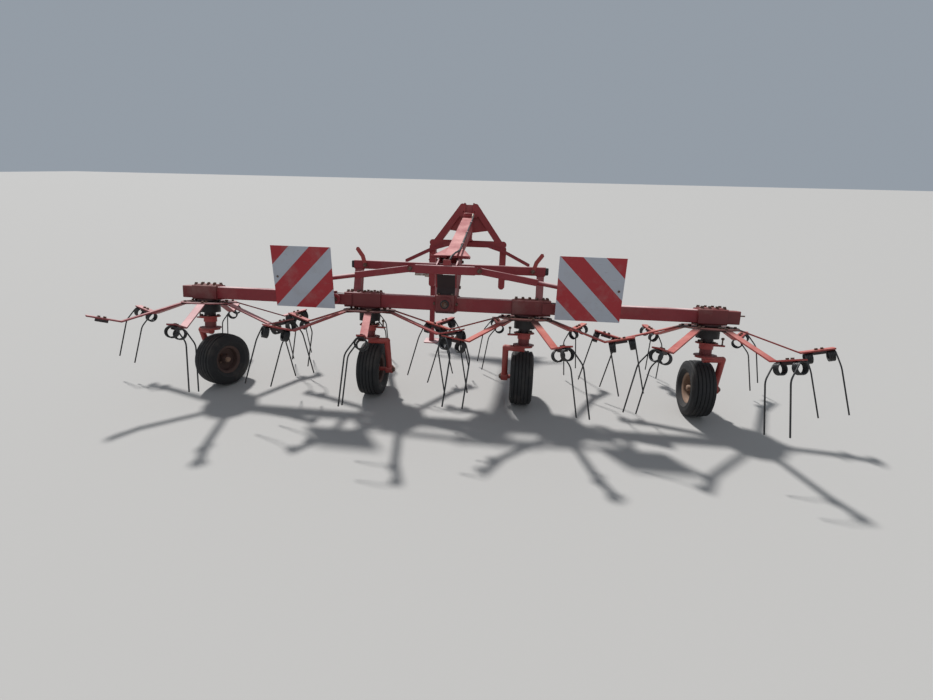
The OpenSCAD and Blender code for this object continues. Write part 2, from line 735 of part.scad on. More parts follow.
module fork(row) {
    r = ROTORS[row];
    side = r[4];
    elbow = [side * fork_side, 20, fork_tube_w];
    foot = [side * fork_side, axle_v, axle_w];
    color("firebrick") at_rotor(r) rotate(r[5]) {
        translate([0, 0, fork_plate_top - fork_plate_t]) cylinder(d = index_d - 20, h = fork_plate_t);
        rod([-side * 10, 0, fork_tube_w], elbow, fork_d);
        translate(elbow) sphere(d = fork_d * bend_swell);
        rod(elbow, foot, fork_d);
        translate(foot) rotate([0, -90, 0]) cylinder(d = fork_d + 16, h = fork_d + 6, center = true);
        translate(foot) rotate([0, -side * 90, 0]) cylinder(d = axle_d, h = fork_side + 52);
    }
}

// Half of a tyre's outline, radius and distance from its middle, from the crown to the bead
function tyre_edge() =
    let (crown = tyre_r, half = tyre_w / 2, bead = rim_d / 2 + 2)
    [[crown, 0], [crown - 1, half * 0.34], [crown - 5, half * 0.66], [crown - 16, half * 0.9],
     [crown - 42, half], [crown - 66, half * 0.97], [bead + 8, half * 0.72], [bead, half * 0.66]];

module tyre(row) {
    edge = tyre_edge();
    count = len(edge);
    outline = concat([for (i = [count - 1 : -1 : 0]) edge[i]],
                     [for (i = [1 : count - 1]) [edge[i][0], -edge[i][1]]]);
    color("darkslategray") at_wheel(ROTORS[row]) rotate([0, 90, 0]) rotate_extrude($fn = 48)
        polygon(outline);
}

module rim(row) {
    bead_r = rim_d / 2 + 2 - seat;
    half = tyre_w * 0.33 - seat;
    color("sienna") at_wheel(ROTORS[row]) rotate([0, 90, 0]) difference() {
        union() {
            rotate_extrude()
                polygon([[bead_r - 6, -half], [bead_r, -half], [bead_r, half], [bead_r - 6, half]]);
            translate([0, 0, -4]) cylinder(r = bead_r - 3, h = 8);
            translate([0, 0, -48]) cylinder(d = 70, h = 96);
        }
        translate([0, 0, -60]) cylinder(d = axle_d + 2 * fit, h = 120);
    }
}

centre_beam();
centre_gearbox();
pto_stub();
inner_gearboxes();
coupling_covers();
upright_plates();
guide_tube();
cross_tube();
lock_hooks();
boom();
pressure_hose();
headstock_frame();
arch_bar();
lower_link_pins();
stand_sleeve();
stand_leg();
on_side(-1) wing_beam();  // wing_beam_left
on_side(1) wing_beam();  // wing_beam_right
on_side(-1) outer_gearbox();  // outer_gearbox_left
on_side(1) outer_gearbox();  // outer_gearbox_right
panel_bracket(-1);  // panel_bracket_left
panel_bracket(1);  // panel_bracket_right
panel(-1);  // panel_left
panel(1);  // panel_right
on_side(-1) fold_sleeve();  // fold_sleeve_left
on_side(1) fold_sleeve();  // fold_sleeve_right
on_side(-1) fold_rod();  // fold_rod_left
on_side(1) fold_rod();  // fold_rod_right
for (row = [0 : 3]) {
    place = ROTORS[row][0];
    rotor(row);
    tines(row);
    fork(row);
    tyre(row);
    rim(row);
}
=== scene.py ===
import math
import bmesh
import bpy
from mathutils import Matrix, Vector
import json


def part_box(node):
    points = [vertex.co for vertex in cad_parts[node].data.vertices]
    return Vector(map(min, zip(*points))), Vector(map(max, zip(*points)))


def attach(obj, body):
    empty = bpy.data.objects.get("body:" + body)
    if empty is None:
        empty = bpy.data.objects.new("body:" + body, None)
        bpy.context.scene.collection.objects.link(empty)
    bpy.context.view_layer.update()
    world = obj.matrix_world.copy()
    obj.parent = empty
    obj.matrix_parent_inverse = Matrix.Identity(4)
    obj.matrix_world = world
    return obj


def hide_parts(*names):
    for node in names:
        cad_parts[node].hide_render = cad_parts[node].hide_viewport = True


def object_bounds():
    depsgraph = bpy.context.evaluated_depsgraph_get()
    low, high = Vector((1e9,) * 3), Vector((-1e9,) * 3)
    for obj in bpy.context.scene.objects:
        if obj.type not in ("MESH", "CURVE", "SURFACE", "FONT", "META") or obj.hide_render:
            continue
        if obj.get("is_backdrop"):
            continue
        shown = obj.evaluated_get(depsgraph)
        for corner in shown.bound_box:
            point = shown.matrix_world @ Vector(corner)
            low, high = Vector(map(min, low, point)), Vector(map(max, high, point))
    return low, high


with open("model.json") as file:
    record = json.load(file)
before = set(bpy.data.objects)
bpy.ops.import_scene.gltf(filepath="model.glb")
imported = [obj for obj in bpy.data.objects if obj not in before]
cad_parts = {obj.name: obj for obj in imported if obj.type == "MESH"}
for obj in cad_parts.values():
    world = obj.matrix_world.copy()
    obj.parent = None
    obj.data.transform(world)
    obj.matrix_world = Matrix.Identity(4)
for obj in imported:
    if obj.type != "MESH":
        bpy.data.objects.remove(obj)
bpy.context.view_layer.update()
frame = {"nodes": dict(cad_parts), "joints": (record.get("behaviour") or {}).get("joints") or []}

# The place it stands in
# A plain pale floor under an even sky. A high light comes from the front left, as the sun stood,
# and a faint low one from behind the camera, which is at eye height, a little to the right.
MIDDLE = Vector((-0.0208197, 0.293167, 0.0))  # from the ground under the beam to the frame's origin
EYE = Vector((0.5092, -3.3446, 1.6729)) - MIDDLE
YAW, PITCH, ROLL = 0.106198, 0.362032, 0.020453
PHOTO_WIDTH, FOCAL_LENGTH = 933, 485.836  # pixels
SENSOR, SIGHT, FLOOR_HALF = 36.0, 200, 60
SQUARE = ((-1, -1), (1, -1), (1, 1), (-1, 1))
LIGHTS = (("high_light", 3.8, 5, (0.42, -0.55, -1.0)),  # name, power, spread in degrees, direction
          ("low_light", 0.2, 60, (-0.3, 1.0, -0.45)))


def look(yaw, pitch, roll):
    """How the camera is turned: yaw to the left, pitch down, and roll about its view."""
    ahead = Vector((-math.sin(yaw) * math.cos(pitch), math.cos(yaw) * math.cos(pitch), -math.sin(pitch)))
    right = Vector((math.cos(yaw), math.sin(yaw), 0.0))
    up = right.cross(ahead)
    side = math.cos(roll) * right + math.sin(roll) * up
    top = -math.sin(roll) * right + math.cos(roll) * up
    return Matrix((side, top, -ahead)).transposed()


def set_down(name, data):
    """Puts a new object into the scene."""
    made = bpy.data.objects.new(name, data)
    bpy.context.scene.collection.objects.link(made)
    return made


def new_finish(name):
    """A material, its node tree and its shader."""
    material = bpy.data.materials.new(name)
    material.use_nodes = True
    return material, material.node_tree, material.node_tree.nodes["Principled BSDF"]


view = set_down("view", bpy.data.cameras.new("view"))
view.data.sensor_width = SENSOR
view.data.lens = SENSOR * FOCAL_LENGTH / PHOTO_WIDTH
view.data.clip_end = SIGHT
view.matrix_world = Matrix.Translation(EYE) @ look(YAW, PITCH, ROLL).to_4x4()
bpy.context.scene.camera = view

floor_mesh = bpy.data.meshes.new("floor")
floor_mesh.from_pydata([(x * FLOOR_HALF, y * FLOOR_HALF, 0) for x, y in SQUARE], [], [(0, 1, 2, 3)])
set_down("floor", floor_mesh)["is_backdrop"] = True
pale, _, shader = new_finish("pale_floor")
shader.inputs["Base Color"].default_value = (0.42, 0.405, 0.385, 1)
shader.inputs["Roughness"].default_value = 0.95
floor_mesh.materials.append(pale)

sky = bpy.data.worlds.new("sky")
sky.use_nodes = True
sky.node_tree.nodes["Background"].inputs["Color"].default_value = (0.78, 0.88, 1.0, 1)
sky.node_tree.nodes["Background"].inputs["Strength"].default_value = 0.38
bpy.context.scene.world = sky
for name, power, spread, toward in LIGHTS:
    lamp = set_down(name, bpy.data.lights.new(name, "SUN"))
    lamp.data.energy = power
    lamp.data.angle = math.radians(spread)
    lamp.rotation_mode = "QUATERNION"
    lamp.rotation_quaternion = Vector(toward).to_track_quat("-Z", "Y")
bpy.context.scene.view_settings.view_transform = "Standard"

# Centre beam
# Two square tubes welded to the upright plates, sprayed one red coat long ago. The top has
# bleached to pink in the sun and is painted paler still, as a painted highlight of the sky's glancing
# reflection; the sides are darker, and the paint is chipped along the edges.
RUST, DRY_DUST = (0.055, 0.03, 0.022), (0.36, 0.31, 0.26)
EDGE_WEAR = 0.0035  # metres that wear reaches in from an edge
BLOTCHES, SPECKS, GRIT = (4.0, 5.0, 0.6), (38.0, 8.0, 0.72), (240.0, 3.0, 0.6)  # scale, detail, roughness


def add(tree, kind, inputs=(), **values):
    """Adds a node. Inputs fill its first sockets, None skips one. Values set its properties, or else
    the sockets of their names. A value that is a socket itself is linked."""
    made = tree.nodes.new(kind)
    for key in [k for k in values if hasattr(made, k)]:
        setattr(made, key, values.pop(key))
    named = [(made.inputs[key.replace("_", " ")], value) for key, value in values.items()]
    for socket, value in list(zip(made.inputs, inputs)) + named:
        if isinstance(value, bpy.types.NodeSocket):
            tree.links.new(value, socket)
        elif value is not None:
            socket.default_value = value
    return made


def part(tree, value, low, high, least=0.0, most=1.0):
    """Goes from least to most while a value goes from low to high, and stays there beyond."""
    return add(tree, "ShaderNodeMapRange", (value, low, high, least, most)).outputs[0]


def times(tree, product, *factors):
    """Multiplies values."""
    for factor in factors:
        product = add(tree, "ShaderNodeMath", (product, factor), operation="MULTIPLY").outputs[0]
    return product


def lay(tree, under, over, where):
    """Lays one colour over another, as much as where says."""
    under, over = [(*c, 1) if isinstance(c, tuple) else c for c in (under, over)]
    inputs = (where, None, None, None, None, None, under, over)
    return add(tree, "ShaderNodeMix", inputs, data_type="RGBA").outputs[2]


def speckle(tree, place, scale, detail, rough, twist=0.0):
    """Blotches or grains over a surface."""
    made = add(tree, "ShaderNodeTexNoise", Vector=place, Scale=scale, Detail=detail, Roughness=rough,
               Distortion=twist)
    return made.outputs["Fac"]


def coat(tree, shader, colour, rough, relief):
    """Gives a shader its colour, how dull it is and its relief."""
    for socket, value in (("Base Color", colour), ("Roughness", rough), ("Normal", relief)):
        tree.links.new(value, shader.inputs[socket])


def old_paint(name, colour, upward_colour, under=RUST, dust=DRY_DUST, upward_strength=0.75, wear=0.5, grime=0.25,
              rough=0.55):
    """Paint with a paler colour on its upward faces, worn at its edges down to what is under it, with dust
    in blotches. The paler top is bleached paint, and in the beam's red also a painted highlight.
    """
    material, tree, shader = new_finish(name)
    place = add(tree, "ShaderNodeTexCoord")
    blotch, speck, grit = [speckle(tree, place.outputs["Object"], *pattern)
                           for pattern in (BLOTCHES, SPECKS, GRIT)]
    slope = add(tree, "ShaderNodeSeparateXYZ", (place.outputs["Normal"],)).outputs[2]
    upward_share = times(tree, part(tree, slope, 0.25, 0.95), part(tree, blotch, 0.28, 0.62), upward_strength)
    shade = lay(tree, colour, upward_colour, upward_share)
    darker = tuple(c * 0.45 for c in colour)
    shade = lay(tree, shade, darker, times(tree, part(tree, speck, 0.35, 0.7), 0.22))
    shade = lay(tree, shade, dust, times(tree, part(tree, blotch, 0.52, 0.78), grime))
    rounded = add(tree, "ShaderNodeBevel", samples=4, Radius=EDGE_WEAR).outputs[0]
    flat = add(tree, "ShaderNodeNewGeometry").outputs["Normal"]
    level = add(tree, "ShaderNodeVectorMath", (rounded, flat), operation="DOT_PRODUCT").outputs["Value"]
    edge = times(tree, part(tree, level, 0.985, 0.86), part(tree, speck, 0.44, 0.6), wear)
    shade = lay(tree, shade, under, edge)
    chips = times(tree, part(tree, speck, 0.69, 0.73), min(1.0, wear * 1.4))
    shade = lay(tree, shade, under, chips)
    relief = add(tree, "ShaderNodeBump", Strength=0.12, Distance=0.001, Height=grit, Normal=rounded)
    coat(tree, shader, shade, part(tree, blotch, 0.3, 0.7, rough - 0.08, rough + 0.2), relief.outputs[0])
    return material


def paint(material, slot, *nodes):
    """Gives solids their finish."""
    for node in nodes:
        piece = frame["nodes"][node]
        piece.data.materials.clear()
        piece.data.materials.append(material)


# The beam's pale top colour is its bleached paint raised into a painted highlight of the sky's glancing
# reflection.
beam_red = old_paint("beam_red", (0.25, 0.022, 0.028), (0.80, 0.58, 0.56), upward_strength=0.92)
paint(beam_red, "frame_red", "centre_beam")

# Gearboxes and their bolts
# Cast housings under the same red paint, dark with oil and dust, and black with grease around the
# stem below each, which the wheel fork turns on. Hexagon bolts hold their covers and flanges.
LEAN, DISC_H = math.radians(11), 669.0  # the frame leans forward, the discs' middles are this high
SIN, COS = math.sin(LEAN), math.cos(LEAN)
DISC_LEVEL = DISC_H / 1000 * COS - MIDDLE.y * SIN
SIDES = (("left", -1), ("right", 1))
INNER_X, OUTER_X, BEAM_UP = 567.0, 1820.0, 75.0
PLUG_V, FRONT_V, CENTRE_TOP, GEAR_TOP, FLANGE_W = -105, 120, 140, 135.0, 10
COVER_U, COVER_V, FRONT_R, FLANGE_R, ROW_V = 48, 68, 46, 65, 40
INNER_ROW, OUTER_ROW = (-70, -23, 25, 73, 120, 148), (-72, -24, 24, 72)
GREASE_TOP, GREASE_END = (0.034, 0.012), (-0.112, -0.103)  # from the disc's level, in metres
GREASE, STAINS = (0.008, 0.007, 0.007), (55.0, 6.0, 0.7)
BOLT_ACROSS, HEAD_HIGH, WASHER_THICK, HEAD_LIFT = 0.019, 0.010, 0.003, 0.0025
CORNER_SHARE, WASHER_SHARE = 0.577, 0.78  # radius for each unit across the flats
SIXTH_TURN = 1.05


def spot(u, v, w):
    """A point of the leaned frame, in millimetres, as a place in metres."""
    return Vector((u, v * COS + w * SIN, DISC_H - v * SIN + w * COS)) / 1000 - MIDDLE


def way(u, v, w):
    """A direction of the leaned frame."""
    return Vector((u, v * COS + w * SIN, -v * SIN + w * COS))


UP, DOWN, AHEAD, BACK = way(0, 0, 1), way(0, 0, -1), way(0, 1, 0), way(0, -1, 0)


def circle(count, radius, first=0):
    """Places round a circle, the first at an angle in degrees."""
    turns = [math.radians(first + 360 // count * k) for k in range(count)]
    return [(radius * math.cos(a), radius * math.sin(a)) for a in turns]


def new_tree(title, inputs):
    """A geometry tree with its inputs, as name, kind and value, and its two ends."""
    tree = bpy.data.node_groups.new(title, "GeometryNodeTree")
    tree.interface.new_socket(name="Geometry", in_out="INPUT", socket_type="NodeSocketGeometry")
    sockets = {}
    for name, kind, value in inputs:
        socket = tree.interface.new_socket(name=name, in_out="INPUT", socket_type=kind)
        if value is not None:
            socket.default_value = value
        sockets[name] = socket.identifier
    tree.interface.new_socket(name="Geometry", in_out="OUTPUT", socket_type="NodeSocketGeometry")
    return tree, sockets, add(tree, "NodeGroupInput").outputs, add(tree, "NodeGroupOutput")


def close_tree(tree, shape, material, leave):
    """Ends a tree with real geometry in one material."""
    solid = add(tree, "GeometryNodeRealizeInstances", (shape,))
    painted = add(tree, "GeometryNodeSetMaterial", (solid.outputs[0],), Material=material)
    tree.links.new(painted.outputs[0], leave.inputs[0])


def grow(mesh, tree, sockets, values):
    """Runs a tree on a mesh and keeps what it makes as a plain mesh."""
    piece = set_down(mesh.name, mesh)
    make = piece.modifiers.new("make", "NODES")
    make.node_group = tree
    for key, value in values.items():
        make[sockets[key]] = value
    bpy.context.view_layer.update()
    made = bpy.data.meshes.new_from_object(piece.evaluated_get(bpy.context.evaluated_depsgraph_get()))
    piece.modifiers.clear()
    piece.data = made
    made.name = piece.name
    return piece


def fasten(piece, body, instead_of=None):
    """Lets a piece ride on a body, and take a solid's place where one is named."""
    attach(piece, body)
    if instead_of:
        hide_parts(instead_of)


def steel(name, colour, rough, rust, metal=0.85):
    """Bare steel with stains of rust, duller where they are."""
    material, tree, shader = new_finish(name)
    shader.inputs["Metallic"].default_value = metal
    stain = speckle(tree, add(tree, "ShaderNodeTexCoord").outputs["Object"], *STAINS)
    shade = lay(tree, colour, rust, part(tree, stain, 0.42, 0.62))
    relief = add(tree, "ShaderNodeBump", Strength=0.2, Distance=0.0006, Height=stain)
    coat(tree, shader, shade, part(tree, stain, 0.3, 0.7, rough, rough + 0.25), relief.outputs[0])
    return material


bolt_steel = steel("bolt_steel", (0.17, 0.13, 0.11), 0.45, (0.13, 0.045, 0.022))
tree, bolt_sockets, entry, leave = new_tree("Bolt heads", (("Across flats", "NodeSocketFloat", BOLT_ACROSS),
                                                           ("Head height", "NodeSocketFloat", HEAD_HIGH)))
bolt_tree = tree
corner_r, washer_r = [times(tree, entry["Across flats"], share) for share in (CORNER_SHARE, WASHER_SHARE)]
head = add(tree, "GeometryNodeMeshCylinder", Vertices=6, Radius=corner_r, Depth=entry["Head height"])
washer = add(tree, "GeometryNodeMeshCylinder", Vertices=16, Radius=washer_r, Depth=WASHER_THICK)
lift = add(tree, "ShaderNodeMath", (entry["Head height"], 0.5, HEAD_LIFT), operation="MULTIPLY_ADD")
offset = add(tree, "ShaderNodeCombineXYZ", Z=lift.outputs[0])
raised = add(tree, "GeometryNodeTransform", Geometry=head.outputs["Mesh"], Translation=offset.outputs[0])
whole = add(tree, "GeometryNodeJoinGeometry", (raised.outputs[0],))
tree.links.new(washer.outputs["Mesh"], whole.inputs[0])
seats = add(tree, "GeometryNodeMeshToPoints", Mesh=entry["Geometry"])
facing = add(tree, "GeometryNodeInputNamedAttribute", data_type="FLOAT_VECTOR", Name="facing")
size = add(tree, "GeometryNodeInputNamedAttribute", data_type="FLOAT", Name="size")
aim = add(tree, "FunctionNodeAlignRotationToVector", axis="Z", Vector=facing.outputs[0])
copies = add(tree, "GeometryNodeInstanceOnPoints", Points=seats.outputs[0], Instance=whole.outputs[0],
             Rotation=aim.outputs[0], Scale=size.outputs[0])
chance = add(tree, "FunctionNodeRandomValue", (None, None, 0.0, SIXTH_TURN), data_type="FLOAT", Seed=7)
turned = add(tree, "ShaderNodeCombineXYZ", Z=chance.outputs[1])
spin = add(tree, "GeometryNodeRotateInstances", Instances=copies.outputs[0], Rotation=turned.outputs[0])
close_tree(tree, spin.outputs[0], bolt_steel, leave)


def bolts(name, body, places, high=HEAD_HIGH):
    """Bolt heads at places: each is where its seat is, the way it points, and its size."""
    mesh = bpy.data.meshes.new(name)
    mesh.from_pydata([seat for seat, _, _ in places], [], [])
    mesh.attributes.new("facing", "FLOAT_VECTOR", "POINT").data.foreach_set(
        "vector", [c for _, toward, _ in places for c in toward.normalized()])
    mesh.attributes.new("size", "FLOAT", "POINT").data.foreach_set("value", [size for _, _, size in places])
    piece = grow(mesh, bolt_tree, bolt_sockets, {"Across flats": BOLT_ACROSS, "Head height": high})
    fasten(piece, body)


def cover_bolts(s, axis_x, row, size):
    """Two rows of bolts along a gearbox's cover."""
    return [(spot(s * (axis_x + u), v, GEAR_TOP), UP, size) for u in row for v in (-ROW_V, ROW_V)]


def flange_bolts(s, axis_x):
    """A ring of bolts under a gearbox's flange."""
    return [(spot(s * (axis_x + u), v, FLANGE_W), DOWN, 0.8) for u, v in circle(8, FLANGE_R, 20)]


def lay_grease_and_shade(material, *layers):
    """Lays grease, and in the upright plates' gap a painted shade, over a paint: each layer is its colour
    and the share of it.
    """
    tree = material.node_tree
    base = tree.nodes["Principled BSDF"].inputs["Base Color"]
    shade = base.links[0].from_socket
    for colour, where in layers:
        shade = lay(tree, shade, colour, where)
    tree.links.new(shade, base)


gear_red = old_paint("gear_red", (0.17, 0.022, 0.022), (0.42, 0.17, 0.15), under=(0.03, 0.022, 0.018),
                     upward_strength=0.6, wear=0.8, grime=0.4, rough=0.5)
tree = gear_red.node_tree
place = add(tree, "ShaderNodeTexCoord").outputs["Object"]
height = add(tree, "ShaderNodeVectorMath", (place, (0, SIN, COS)), operation="DOT_PRODUCT").outputs["Value"]
greased = [part(tree, height, DISC_LEVEL + near, DISC_LEVEL + far)
           for near, far in (GREASE_TOP, GREASE_END)]
lay_grease_and_shade(gear_red, (GREASE, times(tree, *greased, 0.93)))
paint(gear_red, "gear_red", "centre_gearbox", "inner_gearboxes", "outer_gearbox_left",
      "outer_gearbox_right")
bolts("centre_gearbox_bolts", "frame",
      [(spot(0, PLUG_V, BEAM_UP), BACK, 1.5)]
      + [(spot(u, FRONT_V, BEAM_UP + w), AHEAD, 0.8) for u, w in circle(6, FRONT_R)]
      + [(spot(u, v, CENTRE_TOP), UP, 0.9) for u in (-COVER_U, COVER_U) for v in (-COVER_V, COVER_V)])
bolts("inner_gearbox_bolts", "frame",
      cover_bolts(-1, INNER_X, INNER_ROW, 0.9) + cover_bolts(1, INNER_X, INNER_ROW, 0.9)
      + flange_bolts(-1, INNER_X) + flange_bolts(1, INNER_X))
for side, s in SIDES:
    bolts("outer_gearbox_bolts_" + side, "wing_" + side,
          cover_bolts(s, OUTER_X, OUTER_ROW, 0.95) + flange_bolts(s, OUTER_X))

# Weld beads
# The frame is welded by hand, with a thick rippled bead along each joint under the paint. Each bead
# follows its joint as a round thread of uneven thickness.
BEAD_R, RIPPLE, BEAD_INSET, UNEVEN = 0.0035, 0.0045, 5.0, (0.72, 1.15)
BEAM_HALF, CENTRE_BEAM, WING_BEAM = 45.5, (24.5, 125.5), (29.5, 120.5)  # how far out, how low and high
CENTRE_ENDS, WING_ENDS = (77, 470), (871.5, 1723.5)
EAR_U, EAR_V, EAR_W = (63.5, 76.5), -73.5, (286, 315, 344)
POST_BACK, POST_SIDE_U, POST_SIDE_V, POST_W = ((634, 8), (680, 8)), (631, 683), (12, 66), 297
bead_red = old_paint("bead_red", (0.24, 0.025, 0.028), (0.50, 0.22, 0.20), upward_strength=0.6, wear=0.9, grime=0.3)


def thread(tree, line, radius, sides, scale=None):
    """A smooth round thread along a line."""
    section = add(tree, "GeometryNodeCurvePrimitiveCircle", mode="RADIUS", Resolution=sides, Radius=radius)
    swept = add(tree, "GeometryNodeCurveToMesh", (line, section.outputs[0], scale), Fill_Caps=True)
    return add(tree, "GeometryNodeSetShadeSmooth", (swept.outputs[0],)).outputs[0]


tree, bead_sockets, entry, leave = new_tree("Weld beads", (("Bead radius", "NodeSocketFloat", BEAD_R),
                                                           ("Ripple", "NodeSocketFloat", RIPPLE)))
bead_tree = tree
seam = add(tree, "GeometryNodeMeshToCurve", Mesh=entry["Geometry"])
steps = add(tree, "GeometryNodeResampleCurve", mode="LENGTH", Curve=seam.outputs[0], Length=entry["Ripple"])
uneven = add(tree, "FunctionNodeRandomValue", (None, None, *UNEVEN), data_type="FLOAT", Seed=3)
thick = add(tree, "GeometryNodeSetCurveRadius", Curve=steps.outputs[0], Radius=uneven.outputs[1])
swell = add(tree, "GeometryNodeInputRadius").outputs[0]
bead = thread(tree, thick.outputs[0], entry["Bead radius"], 6, swell)
close_tree(tree, bead, bead_red, leave)


def welds(name, body, seams):
    """Weld beads along seams, each a list of places."""
    verts, edges = [], []
    for seam in seams:
        edges += [(len(verts) + k, len(verts) + k + 1) for k in range(len(seam) - 1)]
        verts += seam
    mesh = bpy.data.meshes.new(name)
    mesh.from_pydata(verts, edges, [])
    fasten(grow(mesh, bead_tree, bead_sockets, {"Bead radius": BEAD_R}), body)


def seam_round(u, half_v, low_w, high_w, inset=BEAD_INSET):
    """A seam round a square beam where it meets the piece at u."""
    in_v, in_low, in_high = half_v - inset, low_w + inset, high_w - inset
    corners = ((-in_v, low_w), (in_v, low_w), (half_v, in_low), (half_v, in_high), (in_v, high_w),
               (-in_v, high_w), (-half_v, in_high), (-half_v, in_low), (-in_v, low_w))
    return [spot(u, v, w) for v, w in corners]


welds("frame_welds", "frame",
      [seam_round(s * u, BEAM_HALF, *CENTRE_BEAM) for s in (-1, 1) for u in CENTRE_ENDS]
      + [[spot(s * u, EAR_V, w) for w in EAR_W] for s in (-1, 1) for u in EAR_U]
      + [[spot(s * u, v, POST_W) for u, v in POST_BACK] for s in (-1, 1)]
      + [[spot(s * u, v, POST_W) for v in POST_SIDE_V] for s in (-1, 1) for u in POST_SIDE_U])
for side, s in SIDES:
    welds("wing_welds_" + side, "wing_" + side,
          [seam_round(s * u, BEAM_HALF, *WING_BEAM) for u in WING_ENDS])

# PTO stub
# The bare steel input shaft at the front of the centre gearbox, oiled and a little rusty. It is
# pressed into the gearbox.
shaft_steel = steel("shaft_steel", (0.42, 0.40, 0.37), 0.28, (0.20, 0.12, 0.07), metal=1.0)
paint(shaft_steel, "bright_steel", "pto_stub")

# Wing beams
# Square tubes in the beam's paint, hinged to the inner gearboxes, with a bracket on each for its
# panel. A thin steel pin sticks out of the right beam's end, where its spring clip is lost.
END_PIN, END_PIN_FOOT = ((0, -4), (5, -4), (5, 34), (4, 38), (0, 38)), (2000, -20, 88)
for side, s in SIDES:
    paint(beam_red, "frame_red", "wing_beam_" + side, "panel_bracket_" + side)


def lathe(name, outline, steps):
    """Turns an outline of radius and place along the axle round the X axis."""
    count = len(outline)
    is_ring = outline[0][0] > 0 and outline[-1][0] > 0
    verts = [(x, r * math.cos(2 * math.pi * k / steps), r * math.sin(2 * math.pi * k / steps))
             for k in range(steps) for r, x in outline]
    faces = [(k * count + i, k * count + (i + 1) % count, (k + 1) % steps * count + (i + 1) % count,
              (k + 1) % steps * count + i)
             for k in range(steps) for i in range(count if is_ring else count - 1)]
    mesh = bpy.data.meshes.new(name)
    mesh.from_pydata(verts, [], faces)
    form = bmesh.new()
    form.from_mesh(mesh)
    bmesh.ops.remove_doubles(form, verts=form.verts, dist=1e-6)
    bmesh.ops.recalc_face_normals(form, faces=form.faces)
    form.to_mesh(mesh)
    form.free()
    mesh.shade_smooth()
    mesh.set_sharp_from_angle(angle=0.7)
    return mesh


def stand_on(foot, toward):
    """From millimetres along the X axis to metres, from foot toward a direction."""
    turn = Vector((1, 0, 0)).rotation_difference(toward.normalized()).to_matrix().to_4x4()
    return Matrix.Translation(foot) @ turn @ Matrix.Scale(0.001, 4)


def turned_part(name, outline, foot, toward, material, body, steps=24, instead_of=None):
    """A turned piece that stands on foot and points toward; its outline is in millimetres."""
    mesh = lathe(name, outline, steps)
    mesh.transform(stand_on(foot, toward))
    mesh.materials.append(material)
    fasten(set_down(name, mesh), body, instead_of)


turned_part("end_pin", END_PIN, spot(*END_PIN_FOOT), way(1, 0, 0), bolt_steel, "wing_right",
            12)

# Coupling covers
# Black plastic caps over the universal joints in the wing hinges, grey with dust. A plug of the
# same plastic closes the back of the centre gearbox.
CENTRE_PLUG, CENTRE_BACK_V = ((0, 9), (31, 9), (31, 18), (29, 20), (0, 20)), -85
black_cover = old_paint("black_cover", (0.018, 0.018, 0.019), (0.07, 0.065, 0.06), under=(0.02, 0.02, 0.02),
                        dust=(0.16, 0.14, 0.12), upward_strength=0.5, wear=0.1, grime=0.35, rough=0.5)
paint(black_cover, "black_cover", "coupling_covers")
turned_part("centre_plug", CENTRE_PLUG, spot(0, CENTRE_BACK_V, BEAM_UP), BACK, black_cover, "frame",
            32)

# Upright plates, centre tube and cross tube
# Plate and tube welded up over the gearbox, in the beam's paint. The gap between the plates is
# painted near-black as a painted shade of the hollow there, the cross tube is closed with black plugs,
# and bolts hold the plates to the boom.
GAP_HALF, GAP_PAINTED_SHADE = 0.0645, (0.006, 0.005, 0.005)
PLATE_FACE, PLATE_BOLTS = 75, ((-53, 75), (60, 120), (90, 190), (180, 340), (215, 375))
TUBE_END, TUBE_V, TUBE_W = 690, 40, 329
PLUG_HALF, PLUG_IN, PLUG_OUT = 26.0, 8, 22.0
paint(beam_red, "frame_red", "guide_tube", "cross_tube")
# The same red as the beam, so its pale top is also partly a painted highlight.
upright_red = old_paint("upright_red", (0.25, 0.022, 0.028), (0.80, 0.58, 0.56), upward_strength=0.92)
tree = upright_red.node_tree
across = add(tree, "ShaderNodeSeparateXYZ", (add(tree, "ShaderNodeTexCoord").outputs["Object"],)).outputs[0]
# Between the plates the paint turns near-black: a painted shade of the dark hollow there.
in_gap = add(tree, "ShaderNodeMath", (across, -MIDDLE.x, GAP_HALF), operation="COMPARE").outputs[0]
lay_grease_and_shade(upright_red, (GAP_PAINTED_SHADE, times(tree, in_gap, 0.94)))
paint(upright_red, "frame_red", "upright_plates")
bolts("upright_bolts", "frame",
      [(spot(s * PLATE_FACE, v, w), way(s, 0, 0), 1.0) for s in (-1, 1) for v, w in PLATE_BOLTS])


def block(name, corners, material, body, soft=0.0012):
    """A small closed piece with rounded edges, from the corners of its two ends in order."""
    count = len(corners) // 2
    sides = [(k, (k + 1) % count, count + (k + 1) % count, count + k) for k in range(count)]
    mesh = bpy.data.meshes.new(name)
    mesh.from_pydata(corners, [], [tuple(range(count))[::-1], tuple(range(count, 2 * count))] + sides)
    form = bmesh.new()
    form.from_mesh(mesh)
    bmesh.ops.recalc_face_normals(form, faces=form.faces)
    bmesh.ops.bevel(form, geom=form.edges[:], offset=soft, segments=2, affect="EDGES", profile=0.6)
    form.to_mesh(mesh)
    form.free()
    mesh.materials.append(material)
    mesh.shade_smooth()
    mesh.set_sharp_from_angle(angle=0.6)
    fasten(set_down(name, mesh), body)


for side, s in SIDES:
    block("cross_tube_plug_" + side,
          [spot(s * u, TUBE_V + a * PLUG_HALF, TUBE_W + b * PLUG_HALF)
           for u in (TUBE_END - PLUG_IN, TUBE_END + PLUG_OUT) for a, b in SQUARE],
          black_cover, "frame", 0.009)

